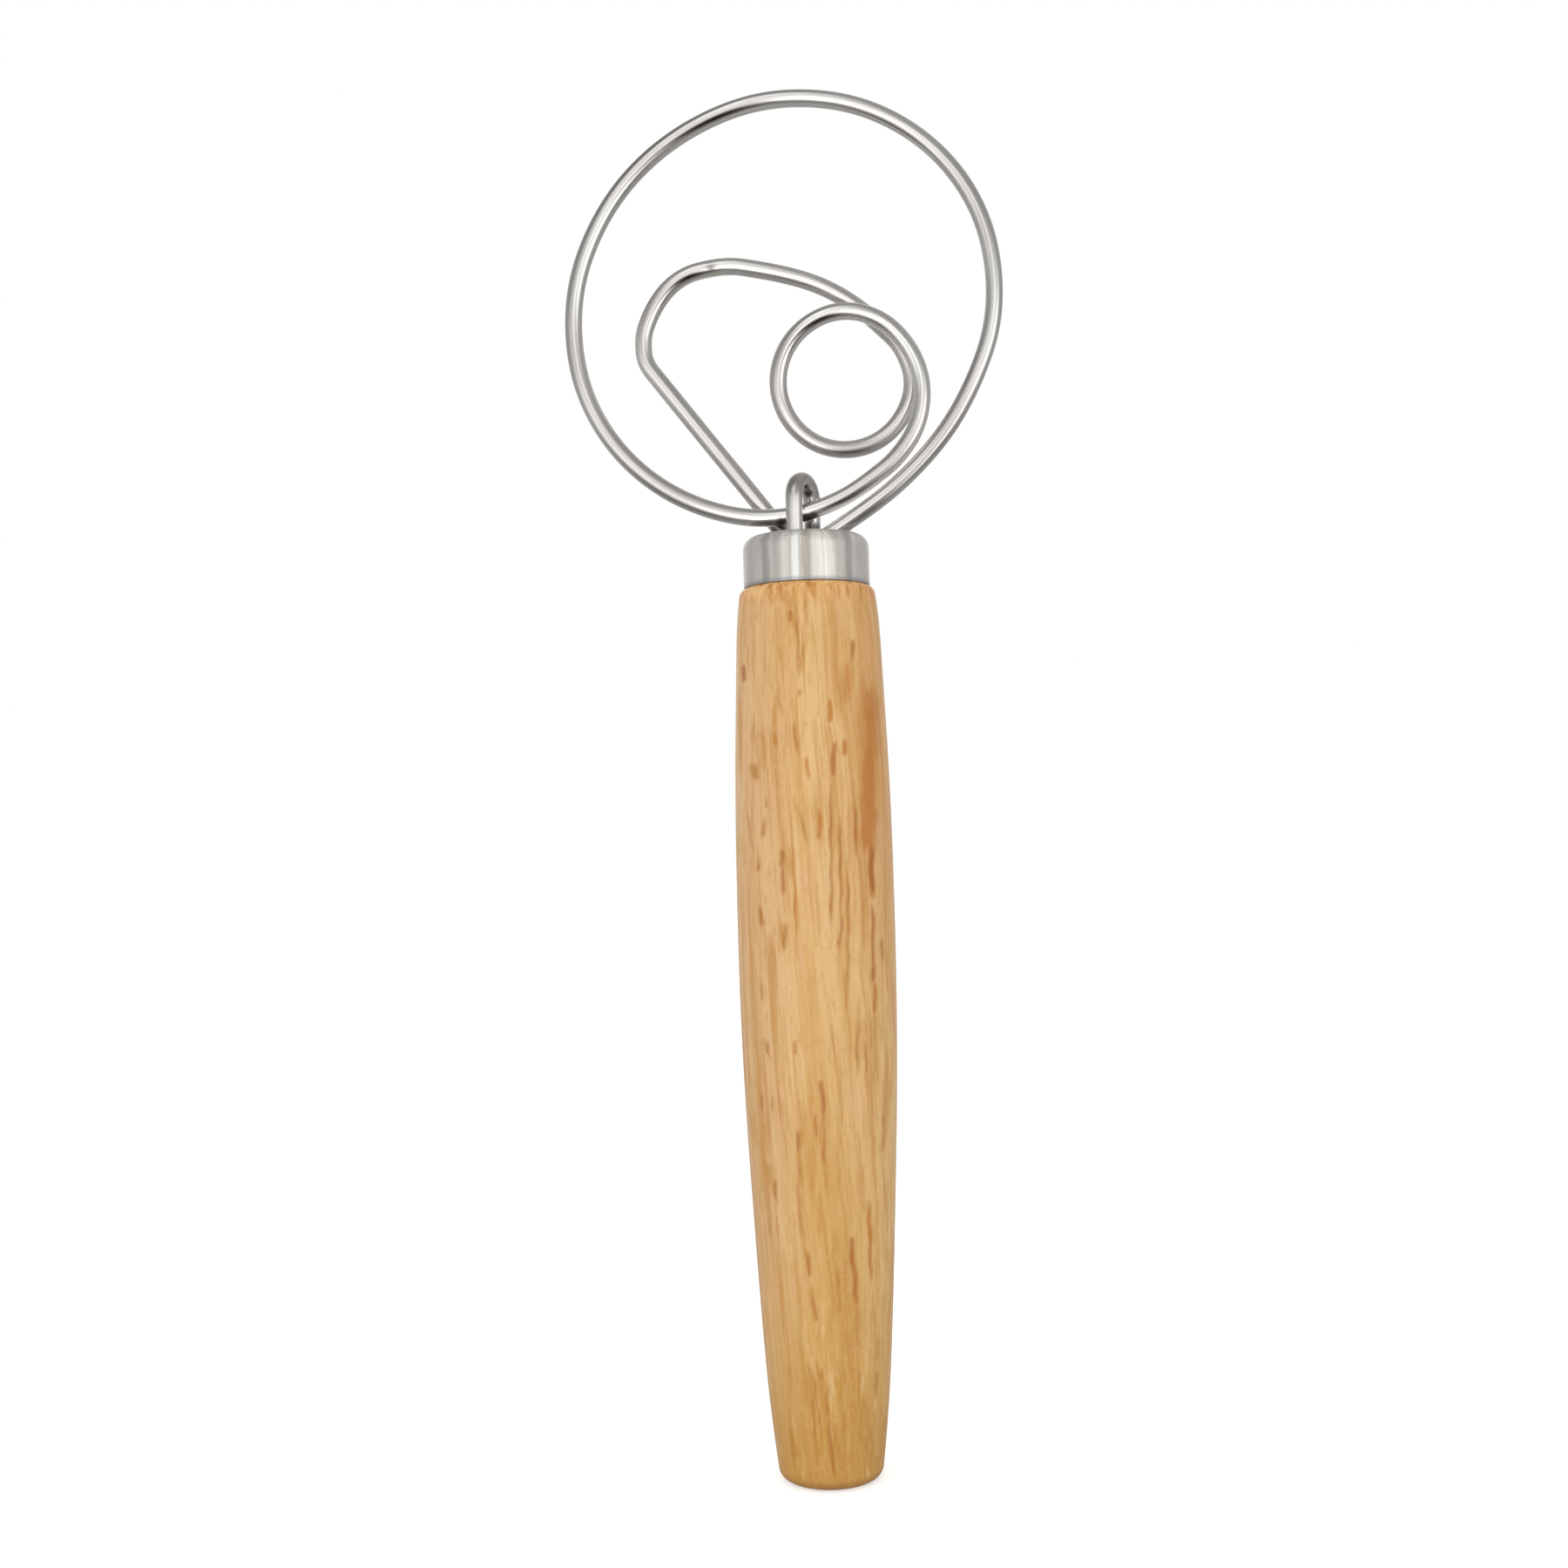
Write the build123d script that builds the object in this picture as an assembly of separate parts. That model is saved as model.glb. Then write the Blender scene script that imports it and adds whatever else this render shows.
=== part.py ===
from build123d import *
import math
import os

# Dough whisk: a turned wooden handle, a drawn steel cap and a head bent from one steel wire.
# Millimetres. The origin is the centre of the handle's flat butt, +Z runs along the handle to
# the wire head, and the big ring lies in the XZ plane, seen from -Y.

# Handle
handle_length = 147.4
belly_diameter = 26.1
belly_height = 97.0
butt_diameter = 17.0
butt_edge_radius = 1.8
shoulder_overhang = 0.65
shoulder_edge_radius = 1.25
# Share of the height from the butt to the belly, and of the swell from the butt to the belly
lower_swell_shares = ((0.11, 0.266), (0.26, 0.503), (0.44, 0.705), (0.71, 0.942))
# Share of the height from the belly to the shoulder, and of the swell from the shoulder to the belly
upper_swell_shares = ((0.47, 0.785), (0.756, 0.503), (0.929, 0.236))
socket_depth = 30.0
socket_margin = 0.6

# Cap
cap_diameter = 20.9
cap_height = 8.5
cap_wall = 0.6
cap_corner_radius = 2.2
cap_rim_radius = 0.2
cap_hole_clearance = 0.15
tenon_clearance = 0.1
tenon_top_clearance = 0.4

# Wire
wire_diameter = 2.9
strand_clearance = 0.45
tail_floor_clearance = 2.0
tail_bend_radius = 4.5
right_tail_x = 1.53
right_tail_rise = -1.3
left_tail_x = -3.1
left_tail_rise = 0.5
resin_clearance = 0.05

# Big ring
ring_radius = 35.0
ring_x = -2.35
ring_standoff = 3.55
ring_step_degrees = 30
ring_first_degrees = -60
# Share of the ring's radius at each step, from the lower right, over the top, to the lowest point
ring_radius_shares = (1.005, 0.962, 0.993, 1.022, 1.012, 0.976, 0.945, 0.956, 1.0, 1.041, 1.040, 0.999)
# Where the wire comes up from the right tail: degrees round the ring, and share of its radius
ring_entry_degrees = -72
ring_entry_share = 1.051
# Where it climbs from the ring to the coil: degrees round the ring, and share of its radius
ring_exit_places_shares = ((285, 0.953), (296, 0.917))

# Small coil
coil_radius = 11.2
coil_edge_distance = 7.8
coil_bearing_degrees = -53.2
coil_step_degrees = 30
coil_first_degrees = -60
# Share of the coil's radius at each step, from the lower right, once round and over the top again
coil_radius_shares = (
    1.385, 1.237, 1.128, 1.055, 1.038, 1.027, 1.003, 0.991, 0.987,
    0.982, 0.978, 0.971, 0.973, 0.984, 1.016, 1.020, 1.054,
)
# Degrees round the coil between which the wire drops behind its own first turn
coil_drop_start_degrees = 90
coil_drop_end_degrees = 330

# Kite-shaped loop, as shares of the ring's radius across and up from the ring's centre
loop_place_shares = (
    (0.220, 0.090), (-0.064, 0.187), (-0.313, 0.216), (-0.502, 0.161),
    (-0.634, 0.012), (-0.681, -0.137), (-0.668, -0.235), (-0.639, -0.283),
)

# Staple
staple_diameter = 2.8
staple_height = 10.85
staple_x = -0.25
staple_skew = 1.55
staple_clearance = 0.3
staple_floor_clearance = 6.0

# Directions closer than this are one straight line
straight_limit = 1e-4
# Distance between the places at which the wire's gap to itself is measured
gap_spacing = 1.0

# Places worked out from the sizes above
cap_top = handle_length + cap_height
tenon_diameter = cap_diameter - 2 * cap_wall - 2 * tenon_clearance
tenon_top = cap_top - cap_wall - tenon_top_clearance
socket_floor = tenon_top - socket_depth
strand_depth = wire_diameter + strand_clearance
staple_depth = (wire_diameter + staple_diameter) / 2 + staple_clearance
right_tail = Vector(right_tail_x, 0, cap_top + right_tail_rise)
left_tail = Vector(left_tail_x, strand_depth, cap_top + left_tail_rise)
tail_reach = max(
    abs(right_tail_x) + wire_diameter / 2,
    math.hypot(left_tail_x, strand_depth) + wire_diameter / 2,
    math.hypot(abs(staple_x) + staple_skew, staple_depth) + staple_diameter / 2,
)
socket_radius = tail_reach + socket_margin
ring_centre = Vector(ring_x, 0, cap_top + ring_standoff + ring_radius)
coil_bearing = math.radians(coil_bearing_degrees)
coil_offset = ring_radius - coil_radius - coil_edge_distance
coil_centre = ring_centre + Vector(math.cos(coil_bearing), 0, math.sin(coil_bearing)) * coil_offset
up = Vector(0, 0, 1)


def round_place(centre, radius, degrees, depth=0):
    """The point that far from the centre in the head's plane, `depth` behind it."""
    angle = math.radians(degrees)
    return centre + Vector(radius * math.cos(angle), depth, radius * math.sin(angle))


def drop_behind(degrees):
    """How far behind the ring's plane the coil lies there: an even S-shaped drop of one strand."""
    share = (degrees - coil_drop_start_degrees) / (coil_drop_end_degrees - coil_drop_start_degrees)
    share = min(max(share, 0), 1)
    return strand_depth * share * share * (3 - 2 * share)


def head_places():
    """The points that the wire runs through, from the right tail round the head to the left leg."""
    places = [round_place(ring_centre, ring_radius * ring_entry_share, ring_entry_degrees)]
    for step, share in enumerate(ring_radius_shares):
        degrees = ring_first_degrees + step * ring_step_degrees
        places.append(round_place(ring_centre, ring_radius * share, degrees))
    for degrees, share in ring_exit_places_shares:
        places.append(round_place(ring_centre, ring_radius * share, degrees))
    for step, share in enumerate(coil_radius_shares):
        degrees = coil_first_degrees + step * coil_step_degrees
        places.append(round_place(coil_centre, coil_radius * share, degrees, drop_behind(degrees)))
    for across, rise in loop_place_shares:
        places.append(ring_centre + Vector(across * ring_radius, strand_depth, rise * ring_radius))
    return places


def way_through(before, here, after):
    """Direction at `here` of the circle through three points."""
    first = here - before
    second = after - here
    return (first / first.dot(first) + second / second.dot(second)).normalized()


def tail_stations(corner, target, end_height):
    """A tail from inside the handle, upright, then bent towards `target`: points with directions."""
    lean = (target - corner).normalized()
    setback = tail_bend_radius * math.tan(math.acos(lean.dot(up)) / 2)
    return [
        (Vector(corner.X, corner.Y, end_height), up),
        (corner - up * setback, up),
        (corner + lean * setback, lean),
    ]


def turned_back(stations):
    """The same points in the other order, each direction reversed."""
    return [(place, way * -1) for place, way in reversed(stations)]


def arc_or_line(start, way, finish):
    """One arc that leaves `start` along `way`, or a line where the arc would be straight."""
    chord = finish - start
    if way.cross(chord.normalized()).length < straight_limit:
        return Edge.make_line(start, finish)
    return Edge.make_tangent_arc(start, way, finish)


def joined_arcs(start, start_way, finish, finish_way):
    """Two arcs from one station to the next, that share one direction where they meet."""
    chord = finish - start
    along = chord.dot(start_way + finish_way)
    spread = 2 * (1 - start_way.dot(finish_way))
    reach = chord.dot(chord) / (along + math.sqrt(along * along + spread * chord.dot(chord)))
    middle = (start + finish + (start_way - finish_way) * reach) / 2
    middle_way = (finish - finish_way * reach - start - start_way * reach).normalized()
    return [arc_or_line(start, start_way, middle), arc_or_line(middle, middle_way, finish)]


def route(stations):
    """The wire's centre line, smooth from the first station to the last."""
    edges = []
    for (start, start_way), (finish, finish_way) in zip(stations, stations[1:]):
        edges += joined_arcs(start, start_way, finish, finish_way)
    return Wire(edges)


def round_bar(path, diameter):
    """A round bar of that diameter along the path."""
    section = Plane(origin=path @ 0, z_dir=path % 0) * Circle(diameter / 2)
    return sweep(section, path=path)


def least_gap(path, diameter):
    """Smallest distance between the surfaces of strands that are not next to each other."""
    count = round(path.length / gap_spacing)
    places = [path.position_at(index / count) for index in range(count + 1)]
    apart = round(4 * diameter * count / path.length)
    gaps = [
        (there - here).length
        for index, here in enumerate(places)
        for there in places[index + apart:]
    ]
    return min(gaps) - diameter


def staple_stations():
    """The hairpin: one leg in front of the ring's strand, one behind it, and a half round crown."""
    leg = Vector(staple_skew, staple_depth, 0)
    crown = cap_top + staple_height - staple_diameter / 2
    bend_centre = Vector(staple_x, 0, crown - leg.length)
    foot = Vector(staple_x, 0, socket_floor + staple_floor_clearance)
    return [
        (foot - leg, up),
        (bend_centre - leg, up),
        (bend_centre + up * leg.length, leg.normalized()),
        (bend_centre + leg, up * -1),
        (foot + leg, up * -1),
    ]


def upright_bar(radius, bottom, top):
    """An upright round bar on the handle's axis."""
    return Pos(0, 0, bottom) * extrude(Circle(radius), top - bottom)


def make_handle():
    """Turned barrel, with a tenon that carries the cap and a blind socket for the tails."""
    belly = belly_diameter / 2
    butt = butt_diameter / 2
    shoulder = cap_diameter / 2 + shoulder_overhang
    upper_height = handle_length - belly_height
    flank = [(butt, 0)]
    for height, swell in lower_swell_shares:
        flank.append((butt + (belly - butt) * swell, belly_height * height))
    flank.append((belly, belly_height))
    for height, swell in upper_swell_shares:
        flank.append((shoulder + (belly - shoulder) * swell, belly_height + upper_height * height))
    flank.append((shoulder, handle_length))
    butt_line = Line((0, 0), flank[0])
    top_and_axis = Polyline(flank[-1], (0, handle_length), (0, 0))
    outline = Curve() + [butt_line, Spline(*flank), top_and_axis]
    barrel = revolve(Plane.XZ * make_face(outline), Axis.Z)
    rims = barrel.edges().filter_by(GeomType.CIRCLE).sort_by(Axis.Z)
    barrel = fillet(rims[0], butt_edge_radius)
    rims = barrel.edges().filter_by(GeomType.CIRCLE).sort_by(Axis.Z)
    barrel = fillet(rims[-1], shoulder_edge_radius)
    tenon = upright_bar(tenon_diameter / 2, handle_length - cap_height, tenon_top)
    tenon_rim = tenon.edges().filter_by(GeomType.CIRCLE).sort_by(Axis.Z)[-1]
    tenon = fillet(tenon_rim, cap_corner_radius - cap_wall / 2)
    return barrel + tenon - upright_bar(socket_radius, socket_floor, cap_top)


def make_cap(tail_holes):
    """Drawn cup, open below, with a hole in its top for each tail."""
    outside = upright_bar(cap_diameter / 2, handle_length, cap_top)
    outside = fillet(outside.edges().filter_by(GeomType.CIRCLE).sort_by(Axis.Z)[-1], cap_corner_radius)
    outside = fillet(outside.edges().filter_by(GeomType.CIRCLE).sort_by(Axis.Z)[0], cap_rim_radius)
    inside = upright_bar(cap_diameter / 2 - cap_wall, handle_length - cap_wall, cap_top - cap_wall)
    inside_rim = inside.edges().filter_by(GeomType.CIRCLE).sort_by(Axis.Z)[-1]
    inside = fillet(inside_rim, cap_corner_radius - cap_wall)
    return outside - inside - tail_holes


def make_resin(tail_channels):
    """Resin that fills the socket round the tails."""
    plug = upright_bar(socket_radius - resin_clearance, socket_floor + resin_clearance, tenon_top)
    return plug - tail_channels


places = head_places()
tail_end = socket_floor + tail_floor_clearance
right_stations = tail_stations(right_tail, places[0], tail_end)
left_stations = turned_back(tail_stations(left_tail, places[-1], tail_end))
ways = [right_stations[-1][1]]
ways += [way_through(*neighbours) for neighbours in zip(places, places[1:], places[2:])]
ways += [left_stations[0][1]]
stations = right_stations + list(zip(places, ways)) + left_stations

wire_path = route(stations)
staple_path = route(staple_stations())
right_tail_path = route(right_stations + [(places[0], ways[0])])
left_tail_path = route([(places[-1], ways[-1])] + left_stations)


def tail_tools(clearance):
    """Bars a clearance thicker than the wires, where they go through the cap and the resin."""
    return [
        round_bar(right_tail_path, wire_diameter + 2 * clearance),
        round_bar(left_tail_path, wire_diameter + 2 * clearance),
        round_bar(staple_path, staple_diameter + 2 * clearance),
    ]


pieces = {
    "handle": make_handle(),
    "ferrule_cap": make_cap(tail_tools(cap_hole_clearance)),
    "whisk_wire": round_bar(wire_path, wire_diameter),
    "wire_staple": round_bar(staple_path, staple_diameter),
    "resin_plug": make_resin(tail_tools(resin_clearance)),
}

os.makedirs("parts", exist_ok=True)
for name, piece in pieces.items():
    export_step(piece, f"parts/{name}.step")

section_area = math.pi * wire_diameter**2 / 4
print("wire length", round(wire_path.length, 1), "mm, least gap to itself",
      round(least_gap(wire_path, wire_diameter), 2), "mm")
print("wire volume over section times length",
      round(pieces["whisk_wire"].volume / (section_area * wire_path.length), 5))
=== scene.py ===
import math

import bpy
import numpy as np
from mathutils import Matrix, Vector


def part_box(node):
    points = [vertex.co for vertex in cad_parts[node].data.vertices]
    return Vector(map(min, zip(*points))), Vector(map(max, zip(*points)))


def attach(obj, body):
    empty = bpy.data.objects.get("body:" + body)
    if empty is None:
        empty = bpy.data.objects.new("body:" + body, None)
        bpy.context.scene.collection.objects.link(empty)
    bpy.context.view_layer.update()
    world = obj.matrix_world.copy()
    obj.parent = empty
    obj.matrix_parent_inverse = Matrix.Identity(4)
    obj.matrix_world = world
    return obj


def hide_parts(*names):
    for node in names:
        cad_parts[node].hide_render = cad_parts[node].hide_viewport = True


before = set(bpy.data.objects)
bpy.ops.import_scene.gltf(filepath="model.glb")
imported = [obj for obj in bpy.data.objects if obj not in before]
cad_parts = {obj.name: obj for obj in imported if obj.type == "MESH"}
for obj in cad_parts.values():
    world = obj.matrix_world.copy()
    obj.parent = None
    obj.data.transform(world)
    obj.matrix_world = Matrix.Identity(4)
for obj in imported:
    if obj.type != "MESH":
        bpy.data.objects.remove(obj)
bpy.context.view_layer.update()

# Dough whisk: a turned wooden handle, a drawn steel cap and a head bent from one steel wire.
# Metres. The origin is the centre of the handle's butt, +Z runs along the handle to the wire head,
# and the big ring lies in the XZ plane, seen from -Y.
mm = 0.001

# Handle, cap and socket, from the frame where it gives them
cap_low, cap_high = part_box("ferrule_cap")
resin_low, resin_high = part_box("resin_plug")
shoulder_height = cap_low.z
cap_top = cap_high.z
tenon_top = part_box("handle")[1].z
belly_radius = 13.05 * mm
belly_height = 97.0 * mm
butt_radius = 8.5 * mm
butt_edge_radius = 1.8 * mm
shoulder_overhang = 0.65 * mm
shoulder_radius = cap_high.x + shoulder_overhang
shoulder_edge_radius = 1.25 * mm
tenon_inset = 0.7 * mm
tenon_radius = cap_high.x - tenon_inset
tenon_edge_radius = 1.9 * mm
resin_clearance = 0.05 * mm
socket_radius = resin_high.x + resin_clearance
socket_floor = resin_low.z - resin_clearance
lower_swell_shares = ((0.11, 0.266), (0.26, 0.503), (0.44, 0.705), (0.71, 0.942))
upper_swell_shares = ((0.47, 0.785), (0.756, 0.503), (0.929, 0.236))

# Wire
wire_radius = 1.45 * mm
strand_depth = 3.35 * mm
tail_bend_radius = 4.5 * mm
tail_floor_clearance = 2.0 * mm
right_tail = np.array((1.53 * mm, 0, cap_top - 1.3 * mm))
left_tail = np.array((-3.1 * mm, strand_depth, cap_top + 0.5 * mm))
tail_end = socket_floor + tail_floor_clearance
wire_end_rounding = 1.0 * mm

# Big ring
ring_radius = 35.0 * mm
ring_centre = np.array((-2.35 * mm, 0, cap_top + 38.55 * mm))
ring_degrees = (-72, *range(-60, 271, 30), 285, 296)
ring_radius_shares = (
    1.051, 1.005, 0.962, 0.993, 1.022, 1.012, 0.976, 0.945,
    0.956, 1.0, 1.041, 1.040, 0.999, 0.953, 0.917,
)

# Small coil
coil_radius = 11.2 * mm
coil_offset = 16.0 * mm
coil_bearing = math.radians(-53.2)
coil_degrees = range(-60, 421, 30)
coil_radius_shares = (
    1.385, 1.237, 1.128, 1.055, 1.038, 1.027, 1.003, 0.991, 0.987,
    0.982, 0.978, 0.971, 0.973, 0.984, 1.016, 1.020, 1.054,
)
coil_drop_degrees = (90, 330)

# Kite-shaped loop, as shares of the ring's radius across and up from the ring's centre
loop_place_shares = (
    (0.220, 0.090), (-0.064, 0.187), (-0.313, 0.216), (-0.502, 0.161),
    (-0.634, 0.012), (-0.681, -0.137), (-0.668, -0.235), (-0.639, -0.283),
)

# Staple
staple_radius = 1.38 * mm
staple_crown = cap_top + 9.45 * mm
staple_x = -0.25 * mm
staple_leg = np.array((1.51 * mm, 3.15 * mm, 0))
staple_flattening = 0.1
staple_crown_reach = 5 * mm
staple_floor_clearance = 6.0 * mm
staple_foot = socket_floor + staple_floor_clearance

# Fineness of the meshes
handle_columns = 384
barrel_rows = 216
butt_rows = 7
butt_edge_rows = 10
top_edge_rows = 7
bar_columns = 48
wire_spacing = 0.3 * mm
staple_spacing = 0.2 * mm
arc_points = 64
tent_rows = 24
tent_columns = 48

# Marks in the wood, as strokes seen from the front: from x, z down to x, z, and the width, in
# millimetres, then the strength
brown_strokes = (
    (-10.7, 134.5, -10.8, 131.6, 0.8, 1), (-3.9, 145.7, -3.9, 143.7, 1.3, 0.57),
    (0, 146.4, -1.1, 141.9, 0.5, 0.51), (-3, 142.3, -3, 140.6, 0.7, 0.71),
    (-1.8, 141.6, -2, 131.1, 0.6, 0.62), (-1, 141.3, -1.2, 134.5, 0.5, 0.44),
    (-1.7, 129.8, -1.7, 128.6, 0.7, 0.71), (-5.5, 129.1, -4.6, 125.8, 0.5, 0.57),
    (-2.8, 123.9, -2.6, 119.9, 0.5, 0.57), (3.4, 121.2, 3.2, 115.7, 0.8, 1),
    (-9.1, 118.3, -9.2, 115.7, 1.3, 0.51), (7, 137.6, 6.9, 134.8, 0.7, 0.71),
    (9, 104.3, 9, 97, 0.8, 1), (9, 95, 8.8, 84.9, 0.6, 0.87), (9, 85.2, 8.9, 82.5, 0.8, 1),
    (-5.4, 104.3, -5.5, 101.4, 0.8, 1), (-5.2, 101.8, -5.4, 97, 0.7, 0.79),
    (-10.9, 110.4, -9.9, 103.5, 0.5, 0.51), (-8.1, 109.1, -8.2, 106, 0.5, 0.57),
    (-7.6, 112.9, -7.6, 110.7, 0.5, 0.57), (-2.7, 110.8, -1.1, 104.7, 0.5, 0.57),
    (2.7, 114.7, 2.2, 91.2, 0.6, 0.7), (2.3, 99.9, 2.3, 96.8, 0.5, 0.57),
    (4.1, 108.4, 3.6, 87, 0.6, 0.7), (3.3, 89.7, 3.3, 88.6, 0.7, 0.75),
    (6.6, 111.1, 6.4, 102.3, 0.6, 0.7), (6.5, 107.7, 6.5, 104.9, 0.7, 0.88),
    (5.1, 99.2, 4.7, 80.9, 0.6, 0.62), (4.9, 92.3, 4.8, 87.2, 0.5, 0.71),
    (-9.1, 102.5, -9.2, 100.5, 0.7, 0.57), (-9.1, 95.1, -9.1, 92, 0.7, 0.64),
    (-5.2, 92.1, -5.3, 88.1, 0.7, 0.64), (-9.3, 82.6, -9.3, 80, 0.7, 0.57),
    (10.4, 89.4, 10.3, 85.6, 0.7, 0.64), (-8.4, 73.5, -8.5, 71.1, 0.7, 0.57),
    (-0.2, 67.4, 0.1, 61.4, 0.75, 1), (0.2, 64.2, 0, 54, 0.6, 0.7),
    (-1.1, 61.9, -1.2, 58.2, 0.5, 0.57), (-9.8, 65, -9.9, 61.8, 0.7, 0.57),
    (-8.1, 64.6, -8.2, 62.1, 0.7, 0.57), (-4.1, 59.4, -4.1, 55.8, 0.7, 0.71),
    (-4.1, 56.9, -4.4, 44.1, 0.6, 0.43), (-7.8, 51.1, -7.9, 47.9, 0.7, 0.64),
    (5.9, 76.8, 5.7, 67.1, 0.6, 0.62), (7.3, 73.4, 7.2, 67.7, 0.5, 0.57),
    (9.9, 61, 9.7, 54.7, 0.7, 0.57), (4, 41.9, 4.1, 36.9, 0.8, 1),
    (4.2, 38.9, 4.6, 31.1, 0.7, 0.69), (-2.8, 39.6, -2.9, 35.4, 0.7, 0.71),
    (-2.4, 32.4, -2, 28.5, 0.7, 0.71), (-1.3, 21, -1.4, 18.7, 0.7, 0.71),
    (-0.4, 17.9, -0.6, 12.9, 0.7, 0.57), (-0.2, 10.6, -0.3, 5.5, 0.7, 0.57),
    (-2.9, 20.7, -1.8, 11.1, 0.6, 0.62), (7.6, 19.3, 7.5, 14.5, 0.7, 0.57),
    (-0.5, 12.5, 0.3, 3, 0.6, 0.7), (-3, 16, -2.6, 9, 0.5, 0.5),
)
orange_strokes = (
    (-5.9, 122.8, -5.9, 120.6, 0.7, 0.75), (3, 128.1, 2.9, 124.3, 0.8, 1),
    (5.1, 121.5, 5, 119, 0.8, 1), (4.9, 133.7, 4.6, 125.4, 0.5, 0.44),
    (-1.1, 119, -0.6, 115.1, 0.7, 0.75), (9.9, 130.5, 9.2, 112.4, 2.6, 0.8),
    (8.9, 119, 8.7, 103, 2.6, 1), (9, 106.4, 8.9, 95.8, 1.2, 1), (9, 82.6, 8.9, 77.3, 0.7, 0.88),
    (-3.6, 104.2, -3.4, 90.4, 0.5, 0.62), (0.8, 110.6, 0.7, 105.7, 0.7, 0.75),
    (-4.1, 73.8, -4.1, 71.2, 0.7, 0.75), (7, 47.2, 7.1, 34, 0.8, 0.85),
    (4.2, 39.8, 4.7, 30.6, 0.9, 0.8), (5.9, 134, 5.7, 127, 2.4, 0.5),
    (8.4, 133, 8.6, 118, 2.6, 0.45),
)
golden_strokes = (
    (-1.7, 146.7, -2.3, 141.9, 0.64, 0.7), (-2.2, 143.3, -2, 136.4, 0.96, 0.7),
    (-2.1, 137.4, -1.3, 132.1, 0.96, 0.6), (-0.1, 146.9, -1, 132.5, 0.72, 0.6),
    (-3.2, 142.6, -2.7, 139.8, 1.2, 0.5), (-9.7, 147.2, -9.8, 144.4, 0.8, 0.5),
    (-6.5, 146.3, -6.5, 144.1, 0.8, 0.6), (-4, 145.9, -3.7, 143.6, 0.8, 0.7),
    (4.2, 146.1, 4.3, 143.4, 0.8, 0.6), (6.8, 137.5, 6.7, 133.8, 0.88, 0.7),
    (-4.5, 137, -4.6, 134, 0.96, 0.4), (-9.7, 118.2, -9.3, 115.4, 1.44, 0.7),
    (-8.2, 109.5, -8.2, 106.2, 0.96, 0.7), (-4.3, 105, -4.1, 98.9, 1.44, 0.5),
    (-2.7, 111.7, -1.4, 105.4, 0.96, 0.5), (0.8, 109.8, 0.7, 105.4, 1.2, 0.5),
    (2.8, 112.3, 2.6, 98, 0.96, 0.5), (4, 110.3, 3.7, 98.1, 0.84, 0.5),
    (5.5, 111, 5.1, 98, 0.84, 0.5), (-7.2, 132.5, -6.3, 129.9, 0.8, 0.4),
    (-2.9, 124.9, -2.6, 119.3, 0.96, 0.6), (-9.6, 124.7, -9.6, 121.4, 0.96, 0.4),
    (8.2, 129.7, 8.3, 116.7, 3.12, 0.5), (6.8, 135, 5.9, 128, 1.92, 0.4),
    (-9, 103.4, -9.4, 100.4, 0.96, 0.5), (5.1, 101.1, 4.1, 77.1, 0.6, 0.8),
    (-3.5, 98.2, -3.4, 86.2, 0.6, 0.6), (-5.3, 92.8, -5.4, 87.9, 1.44, 0.7),
    (-9.2, 95.3, -8.5, 91.8, 0.8, 0.7), (2.6, 99.8, 2.3, 92.5, 0.96, 0.5),
    (3.5, 91.2, 3.4, 87.8, 0.48, 0.6), (6.5, 81.4, 5.7, 69.4, 0.96, 0.5),
    (7.1, 77.3, 6.9, 69.7, 0.84, 0.5), (-9.3, 83.9, -9.2, 78.9, 0.64, 0.5),
    (-9.2, 74.1, -8, 70.1, 0.72, 0.6), (-6, 79.8, -6.1, 65.9, 1.56, 0.35),
    (-1.3, 62.6, -1.9, 48.9, 1.2, 0.6), (-3.7, 59.9, -3.9, 49, 0.96, 0.5),
    (2.4, 61.8, 2.3, 48.7, 0.96, 0.4), (-9.5, 53.6, -8, 49.2, 1.92, 0.5),
    (10, 61.2, 9.8, 52.9, 0.96, 0.35), (0.3, 55.6, 0.2, 49.4, 0.72, 0.5),
    (3.4, 78.4, 3.8, 62, 2.64, 0.3), (8.6, 78.4, 8.3, 65.4, 2.4, 0.3),
    (-0.9, 49.8, -0.9, 42.2, 0.96, 0.6), (-3.4, 40.4, -2.6, 35.6, 0.72, 0.6),
    (-2.4, 34.4, -2.2, 28.1, 1.08, 0.6), (-3.8, 49.8, -3.9, 42.2, 0.96, 0.5),
    (1.4, 43.1, 1.3, 38.9, 0.96, 0.5), (1.6, 37.2, 2, 29.2, 0.9, 0.5),
    (-2.5, 19.3, -2.2, 10.7, 0.96, 0.7), (-1.9, 22, 0.1, 5.6, 1.1, 0.9),
    (2.1, 25.9, 2.1, 17.8, 0.84, 0.5), (-1.6, 11.6, -1.7, 6.3, 0.64, 0.7),
    (-6.6, 10.8, -6.2, 5, 1.08, 0.6), (0.8, 10, 1.1, 5.3, 0.84, 0.5),
    (5.3, 17.3, 5.1, 5.7, 1.08, 0.4), (4.3, 30.2, 4.5, 24.1, 0.96, 0.35),
    (-5.3, 25.4, -4.9, 22.1, 0.64, 0.35), (6.8, 29.8, 6.7, 23.8, 0.96, 0.35),
    (7.7, 22.6, 7.4, 18, 1.08, 0.35), (-8.2, 50.2, -7.8, 46.9, 0.72, 0.6),
    (-8.9, 45, -9, 41.5, 0.64, 0.5), (-3.7, 20.3, -2.6, 16.1, 0.64, 0.5),
    (-4.4, 24, -3.1, 9, 0.6, 0.6), (1.6, 21, 2.2, 5, 0.6, 0.7), (4.6, 22, 4.7, 8, 0.6, 0.6),
    (-3.3, 22, -2.4, 4, 0.8, 1), (-1.45, 20.5, 0.35, 2.5, 0.9, 1),
)

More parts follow.
